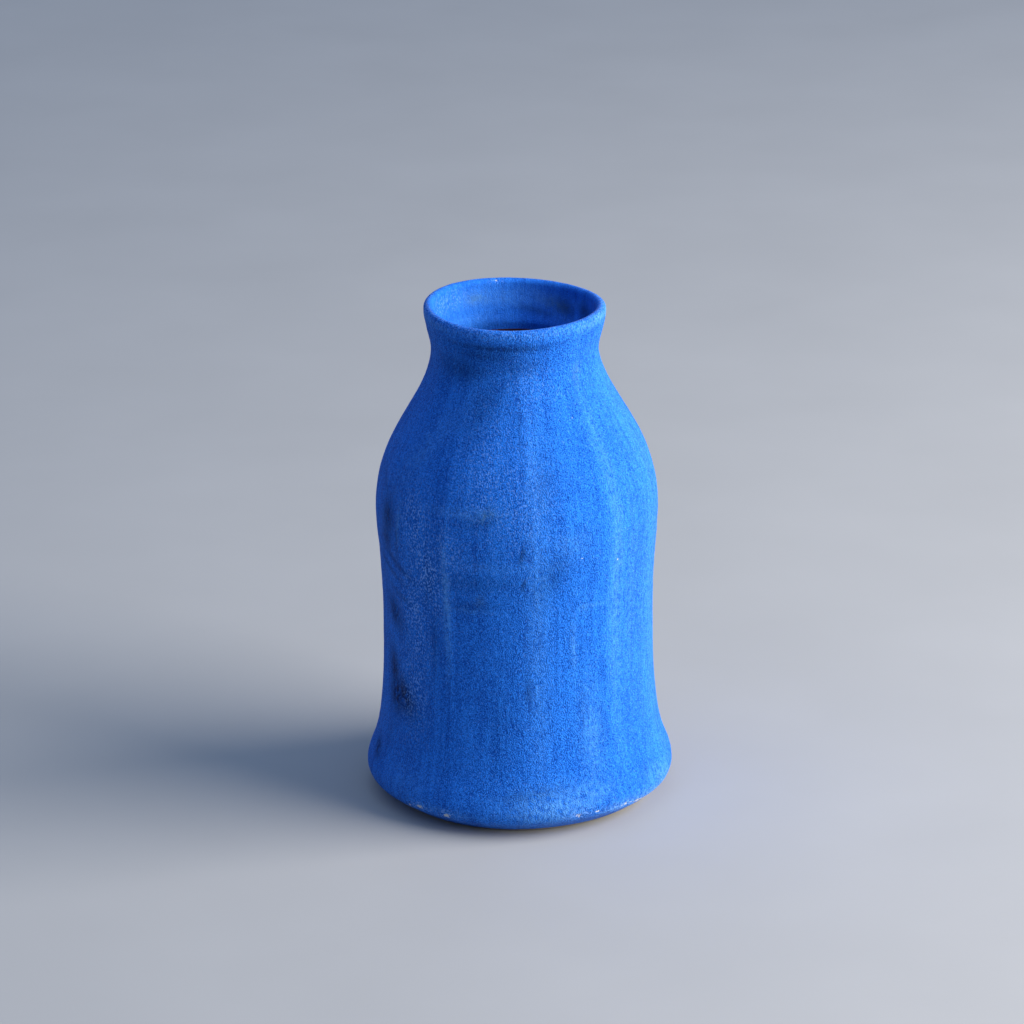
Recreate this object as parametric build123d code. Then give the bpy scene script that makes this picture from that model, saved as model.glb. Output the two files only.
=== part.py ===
from build123d import *
import math
import os

# Ceramic bud vase: a bottle-shaped pot, built up from soft clay pieces and fired.
#
# A wall stands on a rebated base slab, with a coil pressed into the corner between
# them, and carries a second coil as its lip. Matte blue slip covers the outside,
# the lip and the inside of the neck. A dark liner glaze covers the rest of the
# inside, so that the pot holds water. Nothing on it moves.
#
# Millimetres, +Z up. The origin is the middle of the foot, on the surface that the
# pot stands on. The pot is turned about one axis, which leans a little to -X.
#
# Sections are drawn flat, as (radius, height), and then turned about that axis.

# ---- driving dimensions ----------------------------------------------------------
HEIGHT = 125.0  # to the top of the lip, along the pot's own axis
LEAN_ANGLE = 0.7  # degrees that the pot's axis leans to -X

FOOT_RADIUS = 37.8  # the widest ring of the foot edge
STANDING_RADIUS = 31.0  # where the bevel under the foot edge meets the ground
BEVEL_ANGLE = 35.0  # slope of that bevel, in degrees
FOOT_ROUND = 4.0  # rounding between the bevel and the side of the foot

WAIST_RADIUS = 33.0
SHOULDER_RADIUS = 34.2
NECK_RADIUS = 20.1
LIP_RADIUS = 21.75
LIP_ROUND = 1.15  # the lip's top is a half circle of this radius

THROAT_RADIUS = 17.45  # the narrowest place inside, where the slip ends
THROAT_HEIGHT = 112.4
BELLY_RADIUS = 30.6  # the widest place inside
INNER_FOOT_RADIUS = 29.4
FLOOR_HEIGHT = 7.8
COVE_ROUND = 3.2  # rounding between the floor and the wall inside

COAT = 0.3  # thickness of the slip, and of the liner glaze
INSET_STEP = 1.5  # spacing of the points that carry a curve into the clay
SLIP_START_HEIGHT = 1.0  # the slip is wiped off the foot below this height

SEAT_RADIUS = 29.1  # the base slab's raised middle, which the wall fits round
SEAT_HEIGHT = 6.4  # the wall stands on the slab at this height
WALL_INNER_FOOT_RADIUS = 29.7  # the wall's own inner face, behind the corner coil

LIP_SEAT_HEIGHT = 120.6  # the lip coil sits on the wall's top edge here
LIP_RIDGE_RADIUS = 20.0  # a pinched ridge along that edge, which the coil straddles
LIP_RIDGE_SIZE = 0.7

HOLLOW_RADIUS = 27.2  # the shallow hollow under the base slab
HOLLOW_DEPTH = 0.8
HOLLOW_SLOPE = 0.75  # how far its edge spreads for each mm of depth

TRIM = 1.0  # extra depth under the foot, which is trimmed off level
BEYOND = 200.0  # larger than the pot, for the shapes that trim it


def smooth(points, first_direction, last_direction):
    """One smooth curve through the points, with its direction given at both ends."""
    ends = [first_direction, last_direction]
    return Spline(*points, tangents=ends, tangent_scalars=[1, 1])


# ---- the skin that shows ---------------------------------------------------------
def foot_edge():
    """The bevel under the foot, from the slip's lower end, and the rounding over it."""
    slope = Vector(1, 0).rotate(Axis.Z, BEVEL_ANGLE)
    ground = Vector(STANDING_RADIUS, 0)
    slip_start = ground + slope * (SLIP_START_HEIGHT / slope.Y)
    # The rounding ends upright at the foot radius, so this places its lower end.
    round_start_radius = FOOT_RADIUS - FOOT_ROUND * (1 - slope.Y)
    round_start = ground + slope * ((round_start_radius - ground.X) / slope.X)
    bevel = Line(slip_start, round_start)
    rounding = JernArc(round_start, slope, FOOT_ROUND, 90 - BEVEL_ANGLE)
    return bevel, rounding


def outside(start):
    """The wall's profile, from the side of the foot up to the lip."""
    points = [
        start,
        (36.0, 12.9),
        (34.1, 21.0),
        (WAIST_RADIUS, 39.0),
        (33.55, 62.0),
        (SHOULDER_RADIUS, 75.5),
        (31.4, 88.0),
        (24.3, 101.2),
        (20.6, 109.9),
        (NECK_RADIUS, 114.0),
        (21.2, 119.5),
        (LIP_RADIUS, HEIGHT - LIP_ROUND),
    ]
    return smooth(points, (0, 1), (0, 1))


def lip(start):
    """The half circle over the lip."""
    middle = start - Vector(LIP_ROUND, 0)
    return CenterArc(middle, LIP_ROUND, 0, 180)


def neck_inside(start):
    """From the lip down to the narrowest place of the neck."""
    points = [start, (18.5, 118.0), (THROAT_RADIUS, THROAT_HEIGHT)]
    return smooth(points, (0, -1), (0, -1))


def belly_inside(start):
    """From the narrowest place of the neck down to the cove round the floor."""
    points = [
        start,
        (18.4, 106.2),
        (22.0, 100.4),
        (28.4, 87.8),
        (BELLY_RADIUS, 75.5),
        (29.7, 45.0),
        (INNER_FOOT_RADIUS, FLOOR_HEIGHT + COVE_ROUND),
    ]
    return smooth(points, (0, -1), (0, -1))


def cove_and_floor(start):
    """The rounding inside the foot, and the floor as far as the axis."""
    cove = JernArc(start, (0, -1), COVE_ROUND, -90)
    floor = Line(cove @ 1, (0, FLOOR_HEIGHT))
    return cove, floor


def inset(edge):
    """The clay surface under a coat: the edge moved its thickness into the clay."""

    def moved(place):
        into_clay = (edge % place).rotate(Axis.Z, 90)
        return edge @ place + into_clay * COAT

    if edge.geom_type == GeomType.LINE:
        return Line(moved(0), moved(1))
    if edge.geom_type == GeomType.CIRCLE:
        return ThreePointArc(moved(0), moved(0.5), moved(1))
    steps = math.ceil(edge.length / INSET_STEP)
    points = [moved(step / steps) for step in range(steps + 1)]
    return smooth(points, edge % 0, edge % 1)


# ---- sections --------------------------------------------------------------------
def coat_section(skin, clay_surface):
    """The thin section between the skin that shows and the clay under it."""
    near_end = Line(skin[0] @ 0, clay_surface[0] @ 0)
    far_end = Line(skin[-1] @ 1, clay_surface[-1] @ 1)
    return make_face([*skin, *clay_surface, near_end, far_end])


def clay_section(clay_surface):
    """All the clay in one section, still without its joints, and with the trim on."""
    surface_start = clay_surface[0] @ 0
    slope = clay_surface[0] % 0
    outer_corner = surface_start - slope * ((surface_start.Y + TRIM) / slope.Y)
    inner_corner = Vector(HOLLOW_RADIUS + HOLLOW_SLOPE * (HOLLOW_DEPTH + TRIM), -TRIM)
    under = Polyline(
        surface_start,
        outer_corner,
        inner_corner,
        (HOLLOW_RADIUS, HOLLOW_DEPTH),
        (0, HOLLOW_DEPTH),
        clay_surface[-1] @ 1,
    )
    return make_face([*clay_surface, *under.edges()])


def filled(*corners):
    """The flat shape inside a run of corners."""
    return make_face(Polyline(*corners, close=True))


def slab_zone():
    """What belongs to the base slab: its wide lower part and its raised middle."""
    raised_top = FLOOR_HEIGHT - COAT
    return filled(
        (0, -BEYOND),
        (BEYOND, -BEYOND),
        (BEYOND, SEAT_HEIGHT),
        (SEAT_RADIUS, SEAT_HEIGHT),
        (SEAT_RADIUS, raised_top),
        (0, raised_top),
    )


def corner_zone():
    """What belongs to the coil pressed into the corner of wall and slab."""
    bottom = FLOOR_HEIGHT - COAT
    top = FLOOR_HEIGHT + COVE_ROUND
    return filled(
        (0, bottom),
        (WALL_INNER_FOOT_RADIUS, bottom),
        (WALL_INNER_FOOT_RADIUS, top),
        (0, top),
    )


def lip_zone():
    """What belongs to the lip coil, with its groove for the wall's ridge."""
    return filled(
        (0, LIP_SEAT_HEIGHT),
        (LIP_RIDGE_RADIUS - LIP_RIDGE_SIZE, LIP_SEAT_HEIGHT),
        (LIP_RIDGE_RADIUS, LIP_SEAT_HEIGHT + LIP_RIDGE_SIZE),
        (LIP_RIDGE_RADIUS + LIP_RIDGE_SIZE, LIP_SEAT_HEIGHT),
        (BEYOND, LIP_SEAT_HEIGHT),
        (BEYOND, BEYOND),
        (0, BEYOND),
    )


# ---- solids ----------------------------------------------------------------------
def turned(section, height_of_lean):
    """A section turned about the pot's axis, which leans, and trimmed level below."""
    upright = revolve(Plane.XZ * section, Axis.Z)
    pivot = Axis((0, 0, height_of_lean), (0, 1, 0))
    leaning = upright.rotate(pivot, -LEAN_ANGLE)
    below_ground = Pos(0, 0, -BEYOND / 2) * Box(BEYOND, BEYOND, BEYOND)
    return leaning - below_ground


def main():
    bevel, rounding = foot_edge()
    wall_line = outside(rounding @ 1)
    lip_line = lip(wall_line @ 1)
    neck_line = neck_inside(lip_line @ 1)
    belly_line = belly_inside(neck_line @ 1)
    cove, floor = cove_and_floor(belly_line @ 1)

    slip_skin = [bevel, rounding, wall_line, lip_line, neck_line]
    liner_skin = [belly_line, cove, floor]
    under_slip = [inset(edge) for edge in slip_skin]
    under_liner = [inset(edge) for edge in liner_skin]

    clay = clay_section([*under_slip, *under_liner])
    sections = {
        "base_slab": clay & slab_zone(),
        "body_wall": clay - slab_zone() - corner_zone() - lip_zone(),
        "corner_coil": clay & corner_zone(),
        "lip_coil": clay & lip_zone(),
        "blue_slip": coat_section(slip_skin, under_slip),
        "liner_glaze": coat_section(liner_skin, under_liner),
    }

    # The widest ring of the foot stays over the origin when the pot leans.
    widest_height = (rounding @ 1).Y
    os.makedirs("parts", exist_ok=True)
    for node, section in sections.items():
        export_step(turned(section, widest_height), f"parts/{node}.step")


main()
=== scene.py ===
import math

import bmesh
import bpy
import numpy as np
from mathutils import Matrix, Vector, noise


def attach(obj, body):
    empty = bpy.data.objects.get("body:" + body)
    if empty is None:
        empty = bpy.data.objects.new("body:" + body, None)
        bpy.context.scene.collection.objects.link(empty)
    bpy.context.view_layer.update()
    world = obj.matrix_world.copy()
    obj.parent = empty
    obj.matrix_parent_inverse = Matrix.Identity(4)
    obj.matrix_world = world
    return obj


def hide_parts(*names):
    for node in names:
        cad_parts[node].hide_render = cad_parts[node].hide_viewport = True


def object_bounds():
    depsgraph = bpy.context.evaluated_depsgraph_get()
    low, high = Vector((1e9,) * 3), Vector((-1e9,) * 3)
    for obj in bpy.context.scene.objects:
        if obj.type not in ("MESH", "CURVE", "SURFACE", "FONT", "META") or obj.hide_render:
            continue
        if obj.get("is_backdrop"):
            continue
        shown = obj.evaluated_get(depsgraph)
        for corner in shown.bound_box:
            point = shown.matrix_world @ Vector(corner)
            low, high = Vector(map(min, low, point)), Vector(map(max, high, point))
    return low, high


# A small hand-built bottle vase: buff stoneware under a dry, matte cobalt slip, with a
# dark iron glaze inside. Both coats and the foot are turned from the same section as the
# solids, and the clay between the coats is copied from its nodes. All of it is then pushed
# about as hands would: an uneven wall, brush bands, finger marks and worn edges.
#
# Sizes are in millimetres until a mesh is made. A place on the pot is given by its turn,
# the angle from the front (-Y) towards +X, its radius from the pot's axis, and its height
# above the table. Lists of marks give the turn in degrees.

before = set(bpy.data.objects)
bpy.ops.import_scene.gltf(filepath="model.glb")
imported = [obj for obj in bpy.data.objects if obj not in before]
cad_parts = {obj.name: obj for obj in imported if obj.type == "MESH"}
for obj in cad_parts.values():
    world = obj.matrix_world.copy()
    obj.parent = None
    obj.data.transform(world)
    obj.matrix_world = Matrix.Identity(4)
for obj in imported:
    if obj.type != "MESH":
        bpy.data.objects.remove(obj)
cad_low, cad_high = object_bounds()

# ---- the pot's section, as turned ------------------------------------------------------
HEIGHT = 125.0
LEAN = math.radians(0.7)  # the axis leans to -X

FOOT_RADIUS = 37.8
STANDING_RADIUS = 31.0
BEVEL = math.radians(35.0)
FOOT_ROUND = 4.0
WAIST_RADIUS = 33.0
SHOULDER_RADIUS = 34.2
NECK_RADIUS = 20.1
LIP_RADIUS = 21.75
LIP_ROUND = 1.15
THROAT = (17.45, 112.4)
BELLY_RADIUS = 30.6
INNER_FOOT_RADIUS = 29.4
FLOOR_HEIGHT = 7.8
COVE_ROUND = 3.2
COAT = 0.3
SLIP_START_HEIGHT = 1.0
SEAT_RADIUS = 29.1
SEAT_HEIGHT = 6.4
HOLLOW_RADIUS = 27.2
HOLLOW_DEPTH = 0.8
HOLLOW_SLOPE = 0.75
TRIM = 1.0

FOOT_ROUND_MIDDLE = (
    FOOT_RADIUS - FOOT_ROUND,
    (FOOT_RADIUS - FOOT_ROUND * (1 - math.sin(BEVEL)) - STANDING_RADIUS) * math.tan(BEVEL)
    + FOOT_ROUND * math.cos(BEVEL),
)

# One millimetre in the frame's metres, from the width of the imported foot.
MM = (cad_high.x - cad_low.x) / (2 * FOOT_RADIUS)

SLIP_COLUMNS = 368  # faces round the slip, about 0.56 mm each at the waist
SLAB_COLUMNS = 300
LINER_COLUMNS = 180
ROW = 0.66  # spacing of the rows of faces along the section
LIP_ROW = ROW / 2  # closer over the small round of the lip
STANDING_ROW = ROW / 3  # closer round the edges of the standing ring
HIDDEN_ROW = 2.0  # wider where a face is always covered
HIDDEN_STEP = 5  # the back of a coat keeps one row in this many
CORNER = math.radians(38)  # faces that meet more sharply than this keep a crisp edge
SEED = 7


def smooth(points, first_direction, last_direction, spacing=ROW):
    """Evenly spaced points on the smooth curve through the given ones."""
    points = np.array(points, float)
    chord = np.hypot(*np.diff(points, axis=0).T)
    count = len(points)
    system = np.eye(count)
    wanted = np.zeros((count, 2))
    wanted[0], wanted[-1] = first_direction, last_direction
    slope = np.diff(points, axis=0) / chord[:, None]
    for i in range(1, count - 1):
        before, after = chord[i - 1], chord[i]
        system[i, i - 1 : i + 2] = after, 2 * (before + after), before
        wanted[i] = 3 * (after * slope[i - 1] + before * slope[i])
    direction = np.linalg.solve(system, wanted)
    run = []
    for i, length in enumerate(chord):
        steps = max(1, round(length / spacing))
        t = (np.arange(steps) / steps)[:, None]
        start, end = points[i], points[i + 1]
        run.append(
            start * (1 + 2 * t) * (1 - t) ** 2
            + end * t**2 * (3 - 2 * t)
            + direction[i] * length * t * (1 - t) ** 2
            - direction[i + 1] * length * t**2 * (1 - t)
        )
    return np.vstack([*run, points[-1:]])


def arc(middle, radius, start, end, spacing=ROW):
    """Points on a round stretch, with its two angles in degrees."""
    steps = max(2, math.ceil(radius * math.radians(abs(end - start)) / spacing))
    angle = np.radians(np.linspace(start, end, steps + 1))
    return np.column_stack(
        [middle[0] + radius * np.cos(angle), middle[1] + radius * np.sin(angle)]
    )


def line(start, end, spacing=ROW):
    """Points on a straight stretch."""
    start, end = np.array(start, float), np.array(end, float)
    steps = max(1, math.ceil(np.hypot(*(end - start)) / spacing))
    return start + (end - start) * np.linspace(0, 1, steps + 1)[:, None]


def joined(*runs):
    """Runs of points put end to end, without repeating the points where they meet."""
    return np.vstack([runs[0], *[run[1:] for run in runs[1:]]])


def inside_wall():
    """The inside from the throat down to the cove of the floor."""
    belly = [
        THROAT,
        (18.4, 106.2),
        (22.0, 100.4),
        (28.4, 87.8),
        (BELLY_RADIUS, 75.5),
        (29.7, 45.0),
        (INNER_FOOT_RADIUS, FLOOR_HEIGHT + COVE_ROUND),
    ]
    return smooth(belly, (0, -1), (0, -1))


def slip_section():
    """From the slip's lower end under the foot, over the lip and down to the throat."""
    slope = np.array([math.cos(BEVEL), math.sin(BEVEL)])
    ground = np.array([STANDING_RADIUS, 0.0])
    foot = arc(FOOT_ROUND_MIDDLE, FOOT_ROUND, math.degrees(BEVEL) - 90, 0)
    wall = [
        foot[-1],
        (36.0, 12.9),
        (34.1, 21.0),
        (WAIST_RADIUS, 39.0),
        (33.55, 62.0),
        (SHOULDER_RADIUS, 75.5),
        (31.4, 88.0),
        (24.3, 101.2),
        (20.6, 109.9),
        (NECK_RADIUS, 114.0),
        (21.2, 119.5),
        (LIP_RADIUS, HEIGHT - LIP_ROUND),
    ]
    lip = arc((LIP_RADIUS - LIP_ROUND, HEIGHT - LIP_ROUND), LIP_ROUND, 0, 180, LIP_ROW)
    return joined(
        line(ground + slope * (SLIP_START_HEIGHT / slope[1]), foot[0]),
        foot,
        smooth(wall, (0, 1), (0, 1)),
        lip,
        smooth([lip[-1], (18.5, 118.0), THROAT], (0, -1), (0, -1)),
    )


def liner_section():
    """From the throat down the inside to the middle of the floor."""
    cove_middle = (INNER_FOOT_RADIUS - COVE_ROUND, FLOOR_HEIGHT + COVE_ROUND)
    return joined(
        inside_wall(),
        arc(cove_middle, COVE_ROUND, 0, -90),
        line((cove_middle[0], FLOOR_HEIGHT), (0, FLOOR_HEIGHT)),
    )


def slab_section():
    """Round the base slab: the hollow under it, the foot edge, its seat and its top. The
    standing ring reaches below the table, and placed() presses it flat."""
    clay_round = FOOT_ROUND - COAT
    edge = arc(FOOT_ROUND_MIDDLE, clay_round, math.degrees(BEVEL) - 90, -7)
    slope = np.array([math.cos(BEVEL), math.sin(BEVEL)])
    trimmed = edge[0] - slope * ((edge[0][1] + TRIM) / slope[1])
    spread = HOLLOW_SLOPE * (HOLLOW_DEPTH + TRIM)
    return joined(
        line((0, HOLLOW_DEPTH), (HOLLOW_RADIUS, HOLLOW_DEPTH)),
        line((HOLLOW_RADIUS, HOLLOW_DEPTH), (HOLLOW_RADIUS + spread, -TRIM), STANDING_ROW),
        line((HOLLOW_RADIUS + spread, -TRIM), trimmed, STANDING_ROW),
        line(trimmed, edge[0]),
        edge,
        line(edge[-1], (SEAT_RADIUS, SEAT_HEIGHT), HIDDEN_ROW),
        line((SEAT_RADIUS, SEAT_HEIGHT), (SEAT_RADIUS, FLOOR_HEIGHT - COAT)),
        line((SEAT_RADIUS, FLOOR_HEIGHT - COAT), (0, FLOOR_HEIGHT - COAT), HIDDEN_ROW),
    )


# ---- how the hand-built pot departs from the turned form -------------------------------
def hump(value, middle, half_width):
    """A soft bump that is 1 at its middle and has nearly gone two half widths away."""
    return np.exp(-(((value - middle) / half_width) ** 2))


def ramp(value, start, end):
    """0 before start, 1 after end, and an even change between them."""
    t = np.clip((value - start) / (end - start), 0, 1)
    return t * t * (3 - 2 * t)


def degrees_between(turn, middle):
    """How far round the pot a place is from a turn, from -180 to 180 degrees."""
    return (np.degrees(turn) - middle + 180) % 360 - 180


FACET_EDGES = [-121, -88, -57, -30, 2, 39.5, 71, 104, 139, 171, 205, 239]
FACET_SHARE = 0.16  # how much of the way from round to flat sided the wall has been pressed
FACET_SOFTNESS = 1.6  # degrees over which an edge is rounded
FACET_STEP = 0.25  # degrees between two places where the facets are worked out
FACET_REACH = 24  # how many such steps to each side an edge's rounding takes in


def facet_table():
    """The wall's departure from round at each small step of turn, in mm."""
    degrees = np.arange(-180, 180, FACET_STEP)
    edges = np.array(FACET_EDGES + [FACET_EDGES[0] + 360], float)
    turn_from_first = (degrees - edges[0]) % 360 + edges[0]
    side = np.searchsorted(edges, turn_from_first, side="right") - 1
    centre = (edges[side] + edges[side + 1]) / 2
    half = np.radians(edges[side + 1] - edges[side]) / 2
    flat = np.cos(half) / np.cos(np.radians(turn_from_first - centre)) - 1
    steps = np.arange(-FACET_REACH, FACET_REACH + 1)
    weights = hump(steps * FACET_STEP, 0, FACET_SOFTNESS)
    rounded = sum(weight * np.roll(flat, step) for step, weight in zip(steps, weights))
    return degrees, FACET_SHARE * WAIST_RADIUS * rounded / weights.sum()


FACET_TURNS, FACET_DEPTHS = facet_table()
FACET_SWELL = 0.30  # the wall stands out this much, so that its flats don't make it thinner

# Heights between which the foot gives way to the wall, and the wall to the lip.
FOOT_BLEND = (4, 24)
LIP_BLEND = (106, 124)

# How the pot is out of round: size in mm, how many times round it, and shift in radians.
FOOT_SWINGS = [(0.14, 2, -0.8), (0.10, 5, 1.0)]
WALL_SWINGS = [(0.12, 2, 0.5)]
WALL_TWIST = (0.08, 3, -1.0)  # one more swing, which turns slowly as it rises
WALL_TWIST_RISE = 30.0  # mm of height for each radian of that turn
LIP_SWINGS = [(0.16, 2, 2.6), (0.10, 3, 0.4)]

# The lip sagged below its turned height, and least of all at the back left.
LIP_DROP = -0.85
LIP_SAGS = [(0.472, 1, 2.206), (0.297, 2, -1.914)]


def swings(turn, parts):
    """The sum of some even swings round the pot, in mm."""
    return sum(size * np.cos(count * turn + shift) for size, count, shift in parts)


def placed(turn, radius, height):
    """Where a place on the turned form lies on this pot, in the frame's metres."""
    lip = ramp(height, *LIP_BLEND)
    foot = 1 - ramp(height, *FOOT_BLEND)
    wall = 1 - lip - foot
    facets = np.interp(degrees_between(turn, 0), FACET_TURNS, FACET_DEPTHS, period=360)
    size, count, shift = WALL_TWIST
    twist = size * np.cos(count * turn + shift + height / WALL_TWIST_RISE)
    radius = radius + np.clip(wall, 0, 1) * (facets + FACET_SWELL)
    radius = radius + wall * (swings(turn, WALL_SWINGS) + twist)
    radius = radius + foot * swings(turn, FOOT_SWINGS) + lip * swings(turn, LIP_SWINGS)
    height = height + lip * (LIP_DROP + swings(turn, LIP_SAGS))
    across = radius * np.sin(turn)
    depth = -radius * np.cos(turn)
    rise = height - FOOT_ROUND_MIDDLE[1]
    x = across * math.cos(LEAN) - rise * math.sin(LEAN)
    z = across * math.sin(LEAN) + rise * math.cos(LEAN) + FOOT_ROUND_MIDDLE[1]
    return np.stack([x, depth, np.maximum(z, 0)], axis=-1) * MM


# Slanted finger marks: turn, height, half length and half width in mm, slant in degrees
# from upright, and depth in mm.
FINGER_MARKS = [
    (-60, 31.5, 5.6, 2.2, -52, 0.24),
    (-65, 66.0, 5.5, 1.5, -58, 0.16),
    (-66, 54.4, 5.0, 1.5, -55, 0.12),
    (-74, 13.0, 3.0, 2.0, -40, 0.15),
    (-62, 75.0, 6.0, 1.8, 0, 0.10),
    (118, 58.0, 6.0, 2.2, 40, 0.18),
    (150, 83.0, 5.0, 2.0, -35, 0.15),
    (-140, 44.0, 6.5, 2.2, 48, 0.18),
]

# Upright ridges left between strokes of the brush: turn, half width in degrees, lowest
# and highest place, and height in mm. A hollow has a height below 0.
BRUSH_RIDGES = [
    (40.0, 2.6, 14, 108, 0.13),
    (34.0, 4.5, 14, 108, -0.07),
    (-30.0, 2.2, 38, 76, 0.10),
    (-27.0, 1.8, 20, 100, -0.08),
    (6.5, 1.6, 70, 102, 0.07),
    (1.6, 0.9, 88, 108, -0.05),
    (3.5, 1.2, 30, 44, -0.09),
    (23.5, 1.3, 40, 55, 0.09),
    (20.5, 2.4, 20, 66, -0.05),
    (-8.0, 2.0, 18, 60, 0.06),
    (52.0, 3.0, 16, 90, -0.07),
    (60.0, 3.5, 14, 84, 0.06),
    (-48.0, 2.6, 14, 70, 0.07),
    (-55.0, 1.8, 68, 84, 0.09),
]

# Worn places along the foot edge and the lip, and flecks on the wall, where the slip has
# come off the clay: turn, height, half width and half height in mm.
WORN_SPOTS = [
    (-54.5, 3.4, 1.0, 0.6),
    (-47.0, 4.6, 1.0, 0.6),
    (-41.0, 5.2, 1.6, 0.9),
    (-28.5, 4.9, 1.6, 1.0),
    (22.0, 5.4, 1.6, 0.9),
    (30.0, 5.6, 0.9, 0.5),
    (43.0, 5.2, 0.9, 0.6),
    (51.0, 4.4, 1.2, 0.7),
    (61.5, 3.6, 1.6, 0.7),
    (51.5, 73.9, 0.9, 0.5),
    (27.0, 70.2, 0.5, 0.35),
    (45.0, 67.4, 0.4, 0.35),
    (34.0, 101.9, 0.4, 0.35),
    (87.5, 69.7, 1.4, 0.9),
    (128.0, 5.2, 1.2, 0.6),
    (163.0, 4.8, 1.0, 0.5),
    (-112.0, 5.0, 1.0, 0.6),
    (-151.0, 4.6, 1.2, 0.6),
    (-167.0, 124.6, 0.7, 0.35),
]


def slanted_mark(turn, radius, height, middle, level, half_length, half_width, slant):
    """A soft oval mark: 1 at its middle, and its slant is in degrees from upright."""
    sideways = np.radians(degrees_between(turn, middle)) * radius
    lean = math.radians(slant)
    along = (height - level) * math.cos(lean) + sideways * math.sin(lean)
    across = sideways * math.cos(lean) - (height - level) * math.sin(lean)
    return hump(along, 0, half_length) * hump(across, 0, half_width)


def row_numbers(turn):
    """The number of the row that each place lies in, along the section."""
    return np.repeat(np.arange(len(turn))[:, None], turn.shape[1], axis=1)


STROKE_COUNT = 90
RING_COUNT = 70


def scattered_strokes(count, seed):
    """Faint strokes of the brush all round the pot, at random but fixed places."""
    rng = np.random.default_rng(seed)
    turn = (np.arange(count) + rng.uniform(-0.5, 0.5, count)) * 360 / count
    half_width = rng.uniform(0.9, 3.2, count)
    middle = rng.uniform(15, 105, count)
    half_length = rng.uniform(10, 45, count)
    height = rng.uniform(-0.035, 0.035, count)
    return zip(turn, half_width, middle - half_length, middle + half_length, height)


def scattered_rings(count, seed):
    """Faint level marks from turning the pot while it was smoothed, part way round."""
    rng = np.random.default_rng(seed)
    turn = rng.uniform(-180, 180, count)
    half_turn = rng.uniform(12, 45, count)
    height = rng.uniform(10, 104, count)
    half_height = rng.uniform(0.5, 1.6, count)
    slant = rng.uniform(-0.03, 0.03, count)
    depth = rng.uniform(-0.035, 0.035, count)
    return zip(turn, half_turn, height, half_height, slant, depth)


def lumps(turn, radius, height, size, seed):
    """Noise between about -1 and 1 with lumps of one size in mm, for every place."""
    places = np.stack([radius * np.sin(turn), -radius * np.cos(turn), height], axis=-1) / size
    flat = places.reshape(-1, 3)
    offset = Vector((seed * 17.3, seed * 5.1, seed * 9.7))
    values = [noise.noise(Vector(place) + offset) for place in flat]
    return np.array(values).reshape(turn.shape)


# Unevenness of the brushed coat: height in mm, size of its lumps in mm, and seed.
SLIP_LUMPS = [(0.050, 9.0, 1), (0.030, 3.4, 2), (0.022, 1.5, 3)]


def slip_relief(turn, radius, height):
    """How far the slip's skin stands out from an even coat, in mm."""
    outside = ramp(height, 2, 8) * (1 - ramp(height, 112, 118))
    relief = np.zeros(turn.shape)
    for depth, size, seed in SLIP_LUMPS:
        relief += depth * lumps(turn, radius, height, size, seed)
    strokes = [*BRUSH_RIDGES, *scattered_strokes(STROKE_COUNT, SEED)]
    for middle, half_width, low, high, depth in strokes:
        upright = ramp(height, low - 3, low + 3) * (1 - ramp(height, high - 3, high + 3))
        relief += depth * outside * upright * hump(degrees_between(turn, middle), 0, half_width)
    rings = scattered_rings(RING_COUNT, SEED + 1)
    for middle, half_turn, level, half_height, slant, depth in rings:
        away = degrees_between(turn, middle)
        ring = hump(away, 0, half_turn) * hump(height, level + slant * away, half_height)
        relief += depth * outside * ring
    for *mark, depth in FINGER_MARKS:
        relief -= depth * slanted_mark(turn, radius, height, *mark)
    return relief


CREASE_TURN = -12
CREASE_HEIGHT = 120.2
LIP_ROLL_HEIGHT = 122.6


def lip_crease(turn, height):
    """The crease under the rolled lip, deepest at the front left and slight at the back."""
    share = 0.15 + 0.85 * hump(degrees_between(turn, CREASE_TURN), 0, 48)
    crease = 0.26 * hump(height, CREASE_HEIGHT, 1.1)
    roll = 0.20 * hump(height, LIP_ROLL_HEIGHT, 0.9)
    return share * (crease - roll)


BEAD_HEIGHT = 114.6


def throat_bead(turn, height):
    """The ridge of slip that has run down the inside and set above the throat."""
    size = 0.30 + 0.12 * np.cos(turn * 2 + 1)
    return size * hump(height, BEAD_HEIGHT + 0.7 * np.cos(turn + 1), 1.5)


SEAM_TURN = 2.0
SEAM_DEPTH = 0.035
SEAM_HALF_WIDTH = 0.45

# Short creases in the seam: height and half height in mm, sideways run in mm for each mm
# of rise, place to the right of the seam, half width and depth in mm.
SEAM_CREASES = [
    (72.5, 2.0, -0.22, 0.2, 0.45, 0.16),
    (62.5, 2.4, 0.15, 0.0, 0.50, 0.07),
]


def middle_seam(turn, radius, height):
    """How deep the fine upright seam at the front is, with two short creases in it."""
    across = np.radians(degrees_between(turn, SEAM_TURN)) * radius
    between_ends = ramp(height, 26, 34) * (1 - ramp(height, 104, 110))
    seam = SEAM_DEPTH * between_ends * hump(across, 0, SEAM_HALF_WIDTH)
    for level, half_height, run, place, half_width, depth in SEAM_CREASES:
        over_crease = across - (height - level) * run
        seam += depth * hump(height, level, half_height) * hump(over_crease, place, half_width)
    return seam


SPOT_WEAR = 0.84
EDGE_WEAR = 0.70
ALL_ROUND_WEAR = 0.30
EDGE_WEAR_TURN = 52  # the foot's edge is rubbed most at the front right


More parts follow.
